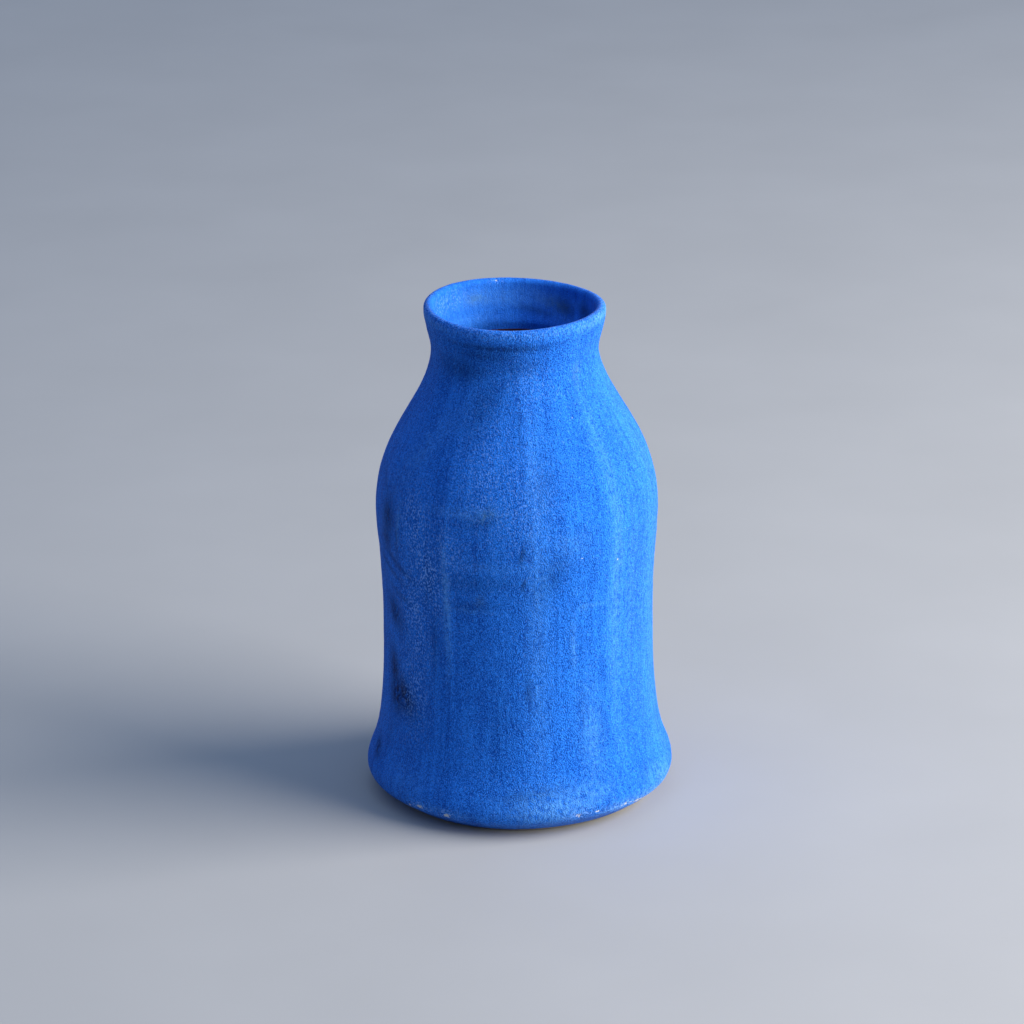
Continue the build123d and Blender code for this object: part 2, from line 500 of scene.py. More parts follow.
def worn_share(turn, radius, height):
    """How far the slip has worn away at each place, from 0 to 1."""
    worn = np.zeros(turn.shape)
    for middle, level, half_width, half_height in WORN_SPOTS:
        across = np.radians(degrees_between(turn, middle)) * radius
        spot = hump(across, 0, half_width) * hump(height, level, half_height)
        worn = np.maximum(worn, SPOT_WEAR * spot)
    edge_height = 5.2 - 0.07 * degrees_between(turn, 40)
    edge = hump(degrees_between(turn, EDGE_WEAR_TURN), 0, 19) * hump(height, edge_height, 0.8)
    patches = ramp(lumps(turn, radius, height, 5.0, 5), 0.0, 0.45)
    all_round = ALL_ROUND_WEAR * hump(height, 4.6, 0.8) * patches
    return np.clip(np.maximum(worn, np.maximum(EDGE_WEAR * edge, all_round)), 0, 1)


# ---- meshes ----------------------------------------------------------------------------
def finished_piece(name, mesh):
    """Puts a mesh into the scene as a piece, smooth but for its real corners."""
    bmesh.ops.recalc_face_normals(mesh, faces=mesh.faces)
    if mesh.calc_volume(signed=True) < 0:
        bmesh.ops.reverse_faces(mesh, faces=mesh.faces)
    for face in mesh.faces:
        face.smooth = True
    for edge in mesh.edges:
        edge.smooth = edge.calc_face_angle(0) < CORNER
    data = bpy.data.meshes.new(name)
    mesh.to_mesh(data)
    mesh.free()
    piece = bpy.data.objects.new(name, data)
    bpy.context.scene.collection.objects.link(piece)
    return piece


def turned_piece(name, section, columns, relief, marks=None):
    """A closed piece turned from its section, which either closes on itself or starts and
    ends on the axis. relief gives how far each place stands out, and marks gives named
    values from 0 to 1 that its material reads."""
    closed = section[0][0] > 0
    rows = section if closed else section[1:-1]
    before = np.roll(section, 1, axis=0)
    after = np.roll(section, -1, axis=0)
    along = after - before
    along /= np.maximum(np.hypot(*along.T), 1e-9)[:, None]
    out = np.column_stack([along[:, 1], -along[:, 0]])
    if not closed:
        out = out[1:-1]
    turn_row = np.linspace(0, 2 * math.pi, columns, endpoint=False)
    turn, radius = np.meshgrid(turn_row, rows[:, 0])
    height = np.repeat(rows[:, 1][:, None], columns, axis=1)
    stand = relief(turn, radius, height)
    grid = placed(turn, radius + stand * out[:, :1], height + stand * out[:, 1:])

    mesh = bmesh.new()
    corners = [[mesh.verts.new(place) for place in row] for row in grid]
    pairs = list(zip(corners, corners[1:]))
    if closed:
        pairs.append((corners[-1], corners[0]))
    for lower, upper in pairs:
        for i in range(columns):
            j = (i + 1) % columns
            mesh.faces.new((lower[i], lower[j], upper[j], upper[i]))
    if not closed:
        for ring, end in ((corners[0], section[0]), (corners[-1], section[-1])):
            middle = mesh.verts.new(placed(np.float64(0), end[0], end[1]))
            for i in range(columns):
                mesh.faces.new((ring[i], ring[(i + 1) % columns], middle))
    piece = finished_piece(name, mesh)
    if marks:
        for mark, value in marks(turn, radius, height).items():
            attribute = piece.data.attributes.new(mark, "FLOAT", "POINT")
            attribute.data.foreach_set("value", value.astype(np.float32).ravel())
    return piece


WELD = 0.001  # corners nearer than this are one corner


def fitted_copy(name, cad_node, drawn_in):
    """A copy of a clay node's mesh, pushed about as the rest of the pot is, and drawn in
    so that every coat stays over it."""
    mesh = bmesh.new()
    mesh.from_mesh(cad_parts[cad_node].data)
    bmesh.ops.remove_doubles(mesh, verts=mesh.verts, dist=WELD * MM)
    mesh.normal_update()
    x, depth, z = np.array([corner.co for corner in mesh.verts]).T / MM
    rise = z - FOOT_ROUND_MIDDLE[1]
    across = x * math.cos(LEAN) + rise * math.sin(LEAN)
    height = rise * math.cos(LEAN) - x * math.sin(LEAN) + FOOT_ROUND_MIDDLE[1]
    moved = placed(np.arctan2(across, -depth), np.hypot(across, depth), height)
    moved -= np.array([corner.normal for corner in mesh.verts]) * drawn_in * MM
    moved[:, 2] = np.maximum(moved[:, 2], 0)
    for corner, place in zip(mesh.verts, moved):
        corner.co = place
    return finished_piece(name, mesh)


def coat_loop(skin, thickness):
    """A closed section: the skin that shows, and back along the clay under it."""
    along = np.gradient(skin, axis=0)
    along /= np.hypot(*along.T)[:, None]
    into_clay = np.column_stack([-along[:, 1], along[:, 0]])
    under = skin + into_clay * thickness
    kept = np.unique(np.append(np.arange(0, len(under), HIDDEN_STEP), len(under) - 1))
    return np.vstack([skin, under[kept][::-1]])


# ---- surfaces --------------------------------------------------------------------------
def node(tree, kind, inputs=None, **settings):
    """Adds one shader node. Its inputs are values, or sockets of other nodes to link."""
    made = tree.nodes.new(kind)
    for setting, value in settings.items():
        setattr(made, setting, value)
    for socket, value in (inputs or {}).items():
        if isinstance(value, bpy.types.NodeSocket):
            tree.links.new(value, made.inputs[socket])
        else:
            made.inputs[socket].default_value = value
    return made


def linear(colour):
    """An sRGB hex colour as linear red, green, blue and alpha."""
    parts = [int(colour[i : i + 2], 16) / 255 for i in (1, 3, 5)]
    return [p / 12.92 if p <= 0.04045 else ((p + 0.055) / 1.055) ** 2.4 for p in parts] + [1.0]


def per(size):
    """The scale of a texture whose lumps are this many mm across."""
    return 1 / (size * MM)


def blank_material(name):
    """A material with only its surface shader and its output."""
    material = bpy.data.materials.new(name)
    material.use_nodes = True
    tree = material.node_tree
    tree.nodes.clear()
    surface = node(tree, "ShaderNodeBsdfPrincipled")
    node(tree, "ShaderNodeOutputMaterial", {"Surface": surface.outputs[0]})
    return material, tree, surface


MIX_FIRST, MIX_SECOND, MIX_RESULT = 6, 7, 2  # a Mix node's colour sockets

STREAK_RISE = 0.07  # a brush streak is about 14 times as long as it is wide
GRAIN_RISE = 0.75  # the brush drew the grain out a little too

# The slip's patterns: name, whether it is drawn out long by the brush, drawn up a little or
# even, size in mm, and detail. Real grain of this kind goes down to less than 0.1 mm. That
# is too fine to show, so its finest pattern is drawn as coarse as it needs to show.
SLIP_PATTERNS = [
    ("grain", "drawn_up", 0.26, 0.0),
    ("specks", "drawn_up", 0.4, 0.0),
    ("coarse", "drawn_up", 0.9, 2.0),
    ("streaks", "brushed", 1.0, 2.0),
    ("bands", "brushed", 4.0, 1.0),
    ("clouds", "even", 7.0, 2.0),
]

# How much each pattern changes the slip's tone, and how high it stands in mm.
# The grain's tone follows its relief: painted shade in its hollows, painted light on its tips.
SLIP_TONES = [("grain", 2.0), ("coarse", 0.6), ("streaks", 0.62), ("bands", 0.45), ("clouds", 0.4)]
SLIP_HEIGHTS = [("grain", 0.22), ("coarse", 0.16), ("streaks", 0.08)]

# Marks of use, with painted shade among the stains and painted light among the rubbing: name, the
# pattern that breaks it up, the pattern's values at which it starts to show and shows fully, its
# greatest share, and its colour.
SLIP_MARKS = [
    # Stains, and painted shade under the lip and of the lip's shadow inside the neck.
    ("stain_and_painted_shade", "coarse", 0.20, 0.50, 1.00, "#031B4E"),
    # Pale rubbing, and a painted highlight down the right side.
    ("rubbed_and_painted_light", "coarse", 0.30, 0.60, 0.60, "#60A6EF"),
    ("dusted", "specks", 0.50, 0.70, 1.00, "#74A8F6"),
    ("smudged", "coarse", 0.30, 0.60, 0.60, "#4C7280"),
]


def matte_cobalt_slip():
    """Dry cobalt slip, brushed on upright and wiped while wet. The brush leaves fine upright streaks,
    the coarse slip a grain like fine sandpaper, and the kiln no gloss. Handling has worn it pale in
    places, stains have darkened it in others, and it is chipped at the edges. Painted light lies on the
    grain's tips and as a pale band down the right side; painted shade lies in the grain's hollows,
    under the lip and as the lip's shadow inside the neck."""
    material, tree, surface = blank_material("matte_cobalt_slip")
    place = node(tree, "ShaderNodeTexCoord").outputs["Object"]

    # Places measured round the pot, so that streaks stay upright where it narrows.
    flat = node(tree, "ShaderNodeVectorMath", {0: place, 1: (1, 1, 0)}, operation="MULTIPLY")
    unit = node(tree, "ShaderNodeVectorMath", {0: flat.outputs[0]}, operation="NORMALIZE")
    waist = (WAIST_RADIUS * MM,) * 3
    around = node(tree, "ShaderNodeVectorMath", {0: unit.outputs[0], 1: waist}, operation="MULTIPLY")
    stretch = (0, 0, STREAK_RISE)
    rise = node(tree, "ShaderNodeVectorMath", {0: place, 1: stretch}, operation="MULTIPLY")
    brushed = node(
        tree, "ShaderNodeVectorMath", {0: around.outputs[0], 1: rise.outputs[0]}, operation="ADD"
    )
    drawn_up = node(tree, "ShaderNodeMapping", {"Vector": place, "Scale": (1, 1, GRAIN_RISE)})
    sources = {"brushed": brushed.outputs[0], "drawn_up": drawn_up.outputs[0], "even": place}

    patterns = {}
    for part, source, size, detail in SLIP_PATTERNS:
        patterns[part] = node(
            tree,
            "ShaderNodeTexNoise",
            {"Vector": sources[source], "Scale": per(size), "Detail": detail},
        ).outputs[0]

    # The slip inside the neck was poured, so its grain is softer than the brushed slip's.
    gritty = node(tree, "ShaderNodeAttribute", attribute_name="gritty").outputs["Fac"]
    for part in ("grain", "coarse"):
        centred = node(tree, "ShaderNodeMath", {0: patterns[part], 1: 0.5}, operation="SUBTRACT")
        patterns[part] = node(
            tree,
            "ShaderNodeMath",
            {0: centred.outputs[0], 1: gritty, 2: 0.5},
            operation="MULTIPLY_ADD",
        ).outputs[0]

    # Colour: darker in the hollows of the grain and paler on its tips, as painted shade and painted
    # light that follow the grain's relief; also deeper where the slip is thick and paler where the
    # brush left it thin.
    tone = 0.5
    for part, share in SLIP_TONES:
        centred = node(tree, "ShaderNodeMath", {0: patterns[part], 1: 0.5}, operation="SUBTRACT")
        tone = node(
            tree,
            "ShaderNodeMath",
            {0: centred.outputs[0], 1: share, 2: tone},
            operation="MULTIPLY_ADD",
        ).outputs[0]
    colour = node(
        tree,
        "ShaderNodeMix",
        {0: tone, MIX_FIRST: linear("#0C47A8"), MIX_SECOND: linear("#2B80EE")},
        data_type="RGBA",
    ).outputs[MIX_RESULT]

    # Single pale specks, painted highlights where light catches the tips of the grain.
    painted_glints = node(
        tree,
        "ShaderNodeMapRange",
        {"Value": patterns["specks"], "From Min": 0.68, "From Max": 0.80, "To Max": 0.35},
    ).outputs[0]
    painted_glints = node(tree, "ShaderNodeMath", {0: painted_glints, 1: gritty}, operation="MULTIPLY").outputs[0]
    colour = node(
        tree,
        "ShaderNodeMix",
        {0: painted_glints, MIX_FIRST: colour, MIX_SECOND: linear("#5E9AF4")},
        data_type="RGBA",
    ).outputs[MIX_RESULT]

    # Stains with painted shade, pale rubbing with painted light, dust and grey smudges, each broken up
    # by the grain.
    for mark, breaker, least, full, most, shade in SLIP_MARKS:
        value = node(tree, "ShaderNodeAttribute", attribute_name=mark).outputs["Fac"]
        broken = node(
            tree,
            "ShaderNodeMapRange",
            {"Value": patterns[breaker], "From Min": least, "From Max": full, "To Max": most},
        )
        share = node(
            tree, "ShaderNodeMath", {0: value, 1: broken.outputs[0]}, operation="MULTIPLY"
        ).outputs[0]
        colour = node(
            tree,
            "ShaderNodeMix",
            {0: share, MIX_FIRST: colour, MIX_SECOND: linear(shade)},
            data_type="RGBA",
        ).outputs[MIX_RESULT]

    # Bare clay at worn edges, with a ragged border as the slip flakes along its grain.
    worn = node(tree, "ShaderNodeAttribute", attribute_name="worn").outputs["Fac"]
    ragged = node(
        tree, "ShaderNodeMath", {0: patterns["coarse"], 1: 0.9, 2: worn}, operation="MULTIPLY_ADD"
    )
    bare = node(
        tree, "ShaderNodeMapRange", {"Value": ragged.outputs[0], "From Min": 1.0, "From Max": 1.14}
    ).outputs[0]
    colour = node(
        tree,
        "ShaderNodeMix",
        {0: bare, MIX_FIRST: colour, MIX_SECOND: linear("#BCC6D4")},
        data_type="RGBA",
    ).outputs[MIX_RESULT]

    # Relief in mm: the grain, the hairs of the brush and the step down to bare clay.
    relief = 0.0
    for part, height in SLIP_HEIGHTS:
        relief = node(
            tree,
            "ShaderNodeMath",
            {0: patterns[part], 1: height, 2: relief},
            operation="MULTIPLY_ADD",
        ).outputs[0]
    relief = node(tree, "ShaderNodeMath", {0: bare, 1: -0.1, 2: relief}, operation="MULTIPLY_ADD")
    bump = node(
        tree, "ShaderNodeBump", {"Height": relief.outputs[0], "Distance": MM, "Strength": 1.0}
    )

    tree.links.new(colour, surface.inputs["Base Color"])
    tree.links.new(bump.outputs[0], surface.inputs["Normal"])
    surface.inputs["Roughness"].default_value = 0.9
    surface.inputs["Specular IOR Level"].default_value = 0.06
    surface.inputs["Sheen Weight"].default_value = 0.08
    surface.inputs["Sheen Roughness"].default_value = 0.3
    return material


def bare_stoneware():
    """Buff stoneware, trimmed on a banding wheel and left bare. The tool drags the grit into
    rings, and grains of iron show as small brown specks."""
    material, tree, surface = blank_material("bare_stoneware")
    place = node(tree, "ShaderNodeTexCoord").outputs["Object"]
    grit = node(
        tree, "ShaderNodeTexNoise", {"Vector": place, "Scale": per(0.7), "Detail": 3.0}
    ).outputs[0]
    patches = node(
        tree, "ShaderNodeTexNoise", {"Vector": place, "Scale": per(7.0), "Detail": 3.0}
    ).outputs[0]
    specks = node(
        tree, "ShaderNodeTexVoronoi", {"Vector": place, "Scale": per(2.6)}, feature="F1"
    ).outputs["Distance"]
    rings = node(
        tree,
        "ShaderNodeTexWave",
        {"Vector": place, "Scale": per(4.4), "Distortion": 1.2, "Detail": 2.0},
        wave_type="RINGS",
        rings_direction="Z",
    ).outputs["Fac"]
    colour = node(
        tree,
        "ShaderNodeMix",
        {0: patches, MIX_FIRST: linear("#B9A887"), MIX_SECOND: linear("#DCD0B4")},
        data_type="RGBA",
    ).outputs[MIX_RESULT]
    darker = node(
        tree,
        "ShaderNodeMapRange",
        {"Value": grit, "From Min": 0.35, "From Max": 0.75, "To Max": 0.4},
    )
    colour = node(
        tree,
        "ShaderNodeMix",
        {0: darker.outputs[0], MIX_FIRST: colour, MIX_SECOND: linear("#9A8768")},
        data_type="RGBA",
    ).outputs[MIX_RESULT]
    iron = node(
        tree,
        "ShaderNodeMapRange",
        {"Value": specks, "From Min": 0.07, "From Max": 0.14, "To Min": 0.8, "To Max": 0.0},
    )
    colour = node(
        tree,
        "ShaderNodeMix",
        {0: iron.outputs[0], MIX_FIRST: colour, MIX_SECOND: linear("#5A3B24")},
        data_type="RGBA",
    ).outputs[MIX_RESULT]
    relief = node(tree, "ShaderNodeMath", {0: grit, 1: 0.16}, operation="MULTIPLY").outputs[0]
    relief = node(tree, "ShaderNodeMath", {0: rings, 1: 0.03, 2: relief}, operation="MULTIPLY_ADD")
    bump = node(tree, "ShaderNodeBump", {"Height": relief.outputs[0], "Distance": MM, "Strength": 1.0})
    tree.links.new(colour, surface.inputs["Base Color"])
    tree.links.new(bump.outputs[0], surface.inputs["Normal"])
    surface.inputs["Roughness"].default_value = 0.93
    surface.inputs["Specular IOR Level"].default_value = 0.3
    return material


def dark_iron_glaze():
    """A thin iron glaze poured in and out again before firing. It breaks to red brown where
    it ran thin, pools near black in the hollows, and has a soft gloss."""
    material, tree, surface = blank_material("dark_iron_glaze")
    place = node(tree, "ShaderNodeTexCoord").outputs["Object"]
    runs = node(tree, "ShaderNodeMapping", {"Vector": place, "Scale": (1, 1, 0.25)})
    breaks = node(
        tree, "ShaderNodeTexNoise", {"Vector": runs.outputs[0], "Scale": per(4.0), "Detail": 4.0}
    ).outputs[0]
    orange_peel = node(
        tree, "ShaderNodeTexNoise", {"Vector": place, "Scale": per(1.5), "Detail": 1.0}
    ).outputs[0]
    colour = node(
        tree,
        "ShaderNodeMix",
        {0: breaks, MIX_FIRST: linear("#2C1A24"), MIX_SECOND: linear("#6E3F40")},
        data_type="RGBA",
    ).outputs[MIX_RESULT]
    dullness = node(
        tree, "ShaderNodeMapRange", {"Value": breaks, "To Min": 0.22, "To Max": 0.45}
    ).outputs[0]
    bump = node(tree, "ShaderNodeBump", {"Height": orange_peel, "Distance": 0.06 * MM, "Strength": 1.0})
    tree.links.new(colour, surface.inputs["Base Color"])
    tree.links.new(dullness, surface.inputs["Roughness"])
    tree.links.new(bump.outputs[0], surface.inputs["Normal"])
    return material


def studio_floor():
    """A plain pale painted board, with the faint mottle of a roller."""
    material, tree, surface = blank_material("studio_floor")
    place = node(tree, "ShaderNodeTexCoord").outputs["Object"]
    mottle = node(
        tree, "ShaderNodeTexNoise", {"Vector": place, "Scale": per(60.0), "Detail": 3.0}
    ).outputs[0]
    colour = node(
        tree,
        "ShaderNodeMix",
        {0: mottle, MIX_FIRST: linear("#9FA1A3"), MIX_SECOND: linear("#A8AAAC")},
        data_type="RGBA",
    ).outputs[MIX_RESULT]
    tree.links.new(colour, surface.inputs["Base Color"])
    surface.inputs["Roughness"].default_value = 0.8
    return material


# ---- marks that the slip's material reads ----------------------------------------------
# Each streak: turn, height, half length and half width in mm, slant in degrees from
# upright, and strength.
STAINS_AND_PAINTED_SHADE = [
    # Darker in and round the finger dents at the front left.
    (-57, 30.5, 6.0, 3.8, -50, 1.0),
    (-63, 30.0, 5.0, 3.8, -14, 1.0),
    (-66, 36.0, 5.0, 3.0, -10, 0.9),
    (-64, 50.8, 4.6, 3.0, -50, 0.80),
    (-60, 64.6, 8.0, 0.8, -68, 0.6),
    (-66, 62.0, 7.0, 0.7, -72, 0.5),
    (-58, 56.5, 6.0, 0.7, -75, 0.45),
    (-76, 13.0, 3.2, 1.8, -50, 0.8),
    (-65, 75.5, 5.0, 3.4, 4, 0.80),
    (-67, 70.0, 3.0, 3.0, 4, 0.70),
    (-57, 72.0, 6.0, 1.0, 8, 0.40),
    (-70, 82.5, 4.0, 0.8, -50, 0.4),
    (-39, 63.0, 6.0, 1.6, 6, 0.30),
    (-37, 47.0, 9.0, 1.4, 3, 0.30),
    (-66, 20.0, 8.0, 2.4, 10, 0.15),
    # Darker along the seam and in its two creases.
    (3.5, 37.0, 3.6, 0.8, 0, 0.4),
    (1.7, 101.0, 4.6, 0.5, 0, 0.25),
    (1.9, 72.4, 2.2, 0.5, 12, 0.9),
    (2.4, 64.7, 1.6, 0.5, 12, 0.8),
    (-17, 64.5, 10.0, 2.2, 86, 0.30),
    (-19, 58.5, 6.0, 1.4, 84, 0.32),
    (-14, 80.5, 4.5, 2.0, 74, 0.40),
    (14, 66.0, 6.0, 3.0, 35, 0.38),
    (13, 89.0, 7.0, 3.0, 10, 0.25),
    (-8, 28.0, 10.0, 2.4, 5, 0.15),
    (5, 11.5, 9.0, 1.6, 86, 0.35),
    (27, 30.0, 12.0, 1.3, 2, 0.12),
    # Painted shade in the crease under the lip and on the neck below it, deepest at the front left.
    (-10, 120.3, 13.0, 1.0, 90, 0.75),
    (-20, 118.2, 8.0, 1.8, 90, 0.55),
    (-38, 113.5, 8.0, 3.6, 90, 0.55),
    (2, 115.0, 6.0, 2.6, 90, 0.30),
    (-20, 105.0, 8.0, 3.5, 20, 0.35),
    (57, 12.0, 2.0, 0.8, 20, 0.4),
    # Darker in the finger dents at the back.
    (118, 58.0, 6.0, 2.0, 40, 0.6),
    (150, 83.0, 5.0, 1.6, -35, 0.4),
    (-140, 44.0, 6.5, 1.8, 48, 0.5),
    (172, 30.0, 4.0, 1.4, 70, 0.4),
    (-105, 90.0, 7.0, 2.0, 50, 0.4),
]
RUBBED_AND_PAINTED_LIGHT = [
    (-30.3, 58.5, 15.0, 0.9, 0, 0.9),
    (0, 123.6, 26.0, 1.0, 90, 0.25),
    (-80, 123.4, 16.0, 1.1, 90, 0.55),
    (78, 123.4, 18.0, 1.3, 90, 0.7),
    (22, 74.0, 5.0, 3.0, 90, 0.35),
    (-50, 93.0, 12.0, 3.0, 30, 0.30),
    (23.5, 48.0, 5.5, 0.7, 0, 0.7),
    (-20, 82.0, 8.5, 1.2, 88, 0.5),
    (6.0, 90.0, 8.0, 1.0, 2, 0.35),
    (-20, 57.2, 5.0, 0.4, 90, 0.4),
    (32, 57.2, 4.6, 0.4, 90, 0.5),
    (-55.8, 75.5, 5.5, 0.8, 4, 0.5),
    (45, 66.0, 40.0, 2.6, 0, 0.5),
    (55, 60.0, 34.0, 3.4, 0, 0.3),
    (0, 69.0, 16.0, 1.3, 90, 0.25),
    (13, 7.6, 11.0, 4.6, 88, 1.0),
    (24, 9.4, 8.0, 3.4, 80, 0.7),
    (43, 5.2, 9.0, 1.6, 88, 1.0),
    (62, 4.2, 10.0, 2.2, 90, 1.0),
    (66, 8.4, 9.0, 3.4, 88, 0.5),
    # Painted highlight: a broad pale band down the right side, where the light falls.
    (78, 60.0, 55.0, 11.0, 0, 0.40),
    (31, 24.0, 12.0, 3.2, 0, 0.45),
    (-50, 10.0, 9.0, 5.0, 90, 0.25),
    (8, 58.0, 46.0, 2.8, 0, 0.35),
    (-30, 6.0, 12.0, 0.9, 91, 0.45),
    (135, 50.0, 30.0, 1.6, 0, 0.5),
    (-110, 60.0, 26.0, 1.4, 0, 0.5),
    (-155, 90.0, 9.0, 1.3, 88, 0.4),
    (90, 6.4, 14.0, 0.9, 90, 0.5),
    (180, 6.2, 20.0, 0.9, 90, 0.5),
    (-110, 6.2, 18.0, 0.9, 90, 0.5),
]
DUSTED = [
    (-45, 76.0, 9.0, 5.0, -6, 0.85),
    (-40, 66.0, 12.0, 5.5, -6, 0.85),
    (-48, 52.0, 14.0, 5.0, -4, 0.75),
    (-50, 34.0, 12.0, 5.0, -4, 0.6),
    (-30, 72.0, 8.0, 6.0, -10, 0.5),
    (-14, 90.0, 12.0, 6.0, 0, 0.4),
    (-2, 84.0, 12.0, 9.0, 0, 0.3),
    (8, 110.0, 7.0, 6.0, 90, 0.22),
    (0, 124.4, 26.0, 1.3, 90, 0.3),
    (-78, 124.4, 16.0, 1.3, 90, 0.4),
    (85, 124.4, 20.0, 1.3, 90, 0.5),
    (-41.0, 5.4, 3.4, 1.3, 88, 1.0),
    (-28.5, 5.1, 3.0, 1.3, 88, 1.0),
    (22.0, 5.6, 3.4, 1.3, 88, 1.0),
    (42, 5.0, 8.0, 1.0, 88, 0.9),
    (58, 4.0, 9.0, 1.9, 90, 1.0),
    (70, 5.0, 5.0, 2.4, 90, 1.0),
    (120, 60.0, 18.0, 5.0, -5, 0.4),
    (-160, 66.0, 14.0, 5.0, 5, 0.4),
]
SMUDGED = [
    (-15.5, 60.4, 1.6, 1.0, 30, 0.8),
    (-12, 82.0, 1.8, 1.1, 20, 0.8),
    (28.5, 57.0, 1.2, 0.9, 0, 0.7),
    (45.5, 111.4, 2.0, 1.2, 20, 0.9),
    (-150, 100.0, 1.8, 1.1, 20, 0.7),
]

# The same, on the inside of the neck.
# Painted shadow of the lip, on the inside of the neck at the right and back.
INSIDE_PAINTED_SHADOW = [
    (140, 119.5, 3.4, 2.0, 70, 0.8),
    (118, 120.0, 3.6, 2.2, 75, 0.8),
    (163, 117.5, 5.0, 1.0, 80, 0.5),
    (100, 118.0, 3.0, 2.4, 80, 0.3),
]
INSIDE_RUBBED = [
    (178, 120.5, 18.0, 2.6, 90, 0.55),
    (138, 116.2, 9.0, 2.4, 80, 0.4),
    (-140, 115.5, 12.0, 2.0, 90, 0.4),
]
INSIDE_SMUDGED = [
    (150, 119.8, 4.5, 1.6, 75, 0.8),
    (-150, 120.5, 3.2, 1.3, 85, 0.9),
]
INSIDE_DUSTED = [
    (-115, 121.5, 9.0, 2.4, 90, 0.45),
    (-150, 116.0, 0.4, 0.3, 0, 0.8),
    (-167, 124.2, 1.6, 0.7, 90, 0.7),
]

MARKS_OUTSIDE_AND_INSIDE = {
    "stain_and_painted_shade": (STAINS_AND_PAINTED_SHADE, INSIDE_PAINTED_SHADOW),
    "rubbed_and_painted_light": (RUBBED_AND_PAINTED_LIGHT, INSIDE_RUBBED),
    "dusted": (DUSTED, INSIDE_DUSTED),
    "smudged": (SMUDGED, INSIDE_SMUDGED),
}


def streaked(turn, radius, height, streaks):
    """How strongly a list of streaks marks each place, from 0 to 1."""
    marked = np.zeros(turn.shape)
    for *mark, strength in streaks:
        marked = np.maximum(marked, strength * slanted_mark(turn, radius, height, *mark))
    return marked


# ---- the sections of the two coats, and what stands out from them ----------------------
slip_skin = slip_section()
lip_row = int(slip_skin[:, 1].argmax())  # the row along the top of the lip

# The liner's back, along the clay, comes before its skin, and both end on the axis.
liner_skin = liner_section()
liner_loop = coat_loop(liner_skin, COAT)
liner_loop = np.vstack([liner_loop[len(liner_skin) :], liner_skin])
liner_loop[0, 0] = liner_loop[-1, 0] = 0.0
liner_back_rows = len(liner_loop) - len(liner_skin)

POURED_SOFTNESS = 0.6  # how much of its grain the slip lacks inside the neck
WEAR_DEPTH = 0.16
DEEPEST = -0.26  # a little short of the clay, which is under 0.3 mm of slip
HIGHEST = 0.5


def slip_marks(turn, radius, height):
    """The marks of use and wear on the slip, with its painted shade and light, for its material."""
    row = row_numbers(turn)
    shares = {}
    for mark, (outside, inside) in MARKS_OUTSIDE_AND_INSIDE.items():
        shares[mark] = np.where(
            row > lip_row,
            streaked(turn, radius, height, inside),
            streaked(turn, radius, height, outside),
        )
    shares["worn"] = worn_share(turn, radius, height)
    shares["gritty"] = 1 - POURED_SOFTNESS * ramp(row, lip_row - 1, lip_row + 3)
    return shares


def slip_surface(turn, radius, height):
    """The slip's whole relief: brush marks, seam, crease under the lip and worn edges."""
    row = row_numbers(turn)
    last = len(slip_skin) - 1
    relief = slip_relief(turn, radius, height)
    relief += np.where(row > lip_row, throat_bead(turn, height), -lip_crease(turn, height))
    relief -= middle_seam(turn, radius, height)
    relief -= WEAR_DEPTH * worn_share(turn, radius, height)
    relief = np.clip(relief, DEEPEST, HIGHEST)
    return relief * ramp(row, 0, 3) * (1 - ramp(row, last - 3, last))


def liner_surface(turn, radius, height):
    """Soft rings where fingers smoothed the inside, and none at its back."""
    rings = 0.05 * np.sin(height * 1.35 + 0.6 * np.sin(turn))
    uneven = 0.05 * lumps(turn, radius, height, 11.0, 8)
    return (rings + uneven) * ramp(row_numbers(turn), liner_back_rows, liner_back_rows + 4)


def slab_surface(turn, radius, height):
    """Rings under the foot, where the tool trimmed it, in a clay that isn't quite even."""
    under = 1 - ramp(height, 1.2, 3.0)
    spiral = 0.07 * np.sin(radius * 2.1 + turn)
    grit = 0.05 * lumps(turn, radius, height, 2.0, 11)
    uneven = 0.08 * lumps(turn, radius, height, 8.0, 12)
    return (spiral + grit + uneven) * under * ramp(radius, 0.3, 3.0)


# ---- the pieces ------------------------------------------------------------------------
slip = matte_cobalt_slip()
clay = bare_stoneware()
liner = dark_iron_glaze()

slip_loop = coat_loop(slip_skin, COAT)
slip_coat = turned_piece("slip_coat", slip_loop, SLIP_COLUMNS, slip_surface, slip_marks)
slip_coat.data.materials.append(slip)
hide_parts("blue_slip")

liner_coat = turned_piece("liner_coat", liner_loop, LINER_COLUMNS, liner_surface)
liner_coat.data.materials.append(liner)
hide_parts("liner_glaze")

foot_slab = turned_piece("foot_slab", slab_section(), SLAB_COLUMNS, slab_surface)
foot_slab.data.materials.append(clay)
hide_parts("base_slab")

DRAWN_IN = 0.2  # how far the clay is drawn back, so that it never shows through a coat
COIL_DRAWN_IN = 0.04  # less for the corner coil, whose two edges are thin

clay_pieces = []
for name, cad_node, drawn_in in (
    ("clay_wall", "body_wall", DRAWN_IN),
    ("clay_corner_coil", "corner_coil", COIL_DRAWN_IN),
    ("clay_lip_coil", "lip_coil", DRAWN_IN),
):
    piece = fitted_copy(name, cad_node, drawn_in)
    piece.data.materials.append(clay)
    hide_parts(cad_node)
    clay_pieces.append(piece)

for piece in [slip_coat, liner_coat, foot_slab, *clay_pieces]:
    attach(piece, "root")

# ---- the studio ------------------------------------------------------------------------
# From here on, sizes are in metres.
FLOOR_REACH = 4.0

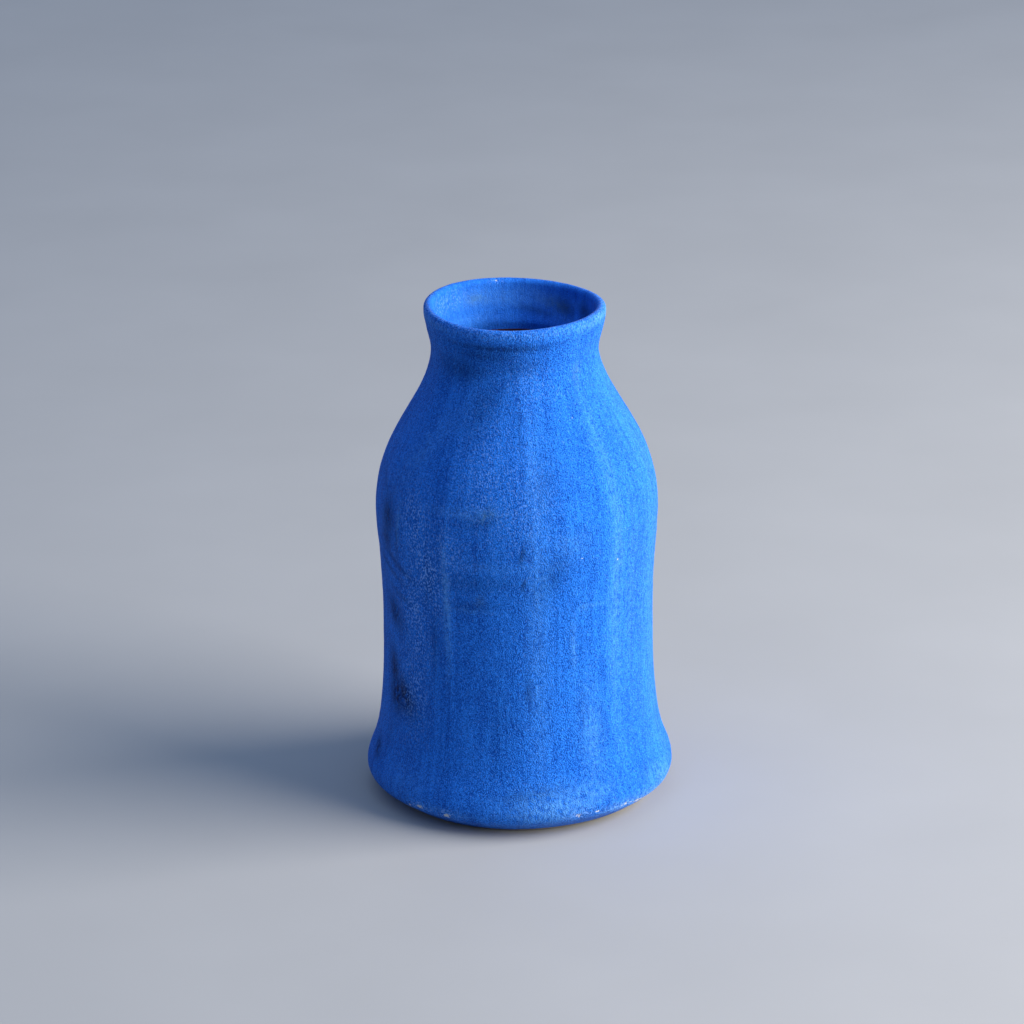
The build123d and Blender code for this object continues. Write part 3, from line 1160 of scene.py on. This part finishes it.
floor_data = bpy.data.meshes.new("floor")
floor_corners = [
    (-FLOOR_REACH, -FLOOR_REACH, 0),
    (FLOOR_REACH, -FLOOR_REACH, 0),
    (FLOOR_REACH, FLOOR_REACH, 0),
    (-FLOOR_REACH, FLOOR_REACH, 0),
]
floor_data.from_pydata(floor_corners, [], [(0, 1, 2, 3)])
floor = bpy.data.objects.new("floor", floor_data)
bpy.context.scene.collection.objects.link(floor)
floor.data.materials.append(studio_floor())
floor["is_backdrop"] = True

pot_low, pot_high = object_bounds()
pot_middle = (pot_low + pot_high) / 2

# A wide soft window of warm light, from the right and a little in front, above the pot.
KEY_WIDTH = 1.0
KEY_HEIGHT = 0.8
KEY_DISTANCE = 1.1
KEY_TURN = math.radians(79)
KEY_ELEVATION = math.radians(24)
KEY_POWER = 31.0
KEY_COLOUR = (1.06, 0.985, 0.90)

key_data = bpy.data.lights.new("key", "AREA")
key_data.shape = "RECTANGLE"
key_data.size = KEY_WIDTH
key_data.size_y = KEY_HEIGHT
key_data.energy = KEY_POWER
key_data.color = KEY_COLOUR
key = bpy.data.objects.new("key", key_data)
bpy.context.scene.collection.objects.link(key)
towards_key = Vector(
    (
        math.sin(KEY_TURN) * math.cos(KEY_ELEVATION),
        -math.cos(KEY_TURN) * math.cos(KEY_ELEVATION),
        math.sin(KEY_ELEVATION),
    )
)
key.location = pot_middle + towards_key * KEY_DISTANCE
key.rotation_euler = towards_key.to_track_quat("Z", "Y").to_euler()

# The room's even light, slightly cool, and stronger from the ceiling than from the walls.
WALL_LIGHT = 0.08
CEILING_LIGHT = 0.85

world = bpy.data.worlds.new("room")
bpy.context.scene.world = world
world.use_nodes = True
world.node_tree.nodes.clear()
way = node(world.node_tree, "ShaderNodeTexCoord").outputs["Generated"]
way_up = node(world.node_tree, "ShaderNodeSeparateXYZ", {0: way}).outputs["Z"]
strength = node(
    world.node_tree,
    "ShaderNodeMapRange",
    {"Value": way_up, "To Min": WALL_LIGHT, "To Max": CEILING_LIGHT},
).outputs[0]
room = node(
    world.node_tree, "ShaderNodeBackground", {"Color": linear("#BBD6FF"), "Strength": strength}
)
node(world.node_tree, "ShaderNodeOutputWorld", {"Surface": room.outputs[0]})

# A long lens about 1.1 m away, looking down on the pot by 20 degrees.
CAMERA_PLACE = (-0.0020, -1.050, 0.452)
CAMERA_TILT = math.radians(70.052)
SENSOR_WIDTH = 36.0
LENS = 161.19

camera_data = bpy.data.cameras.new("camera")
camera_data.sensor_width = SENSOR_WIDTH
camera_data.lens = LENS
camera = bpy.data.objects.new("camera", camera_data)
bpy.context.scene.collection.objects.link(camera)
camera.location = CAMERA_PLACE
camera.rotation_euler = (CAMERA_TILT, 0, 0)
bpy.context.scene.camera = camera

bpy.context.scene.view_settings.view_transform = "Standard"
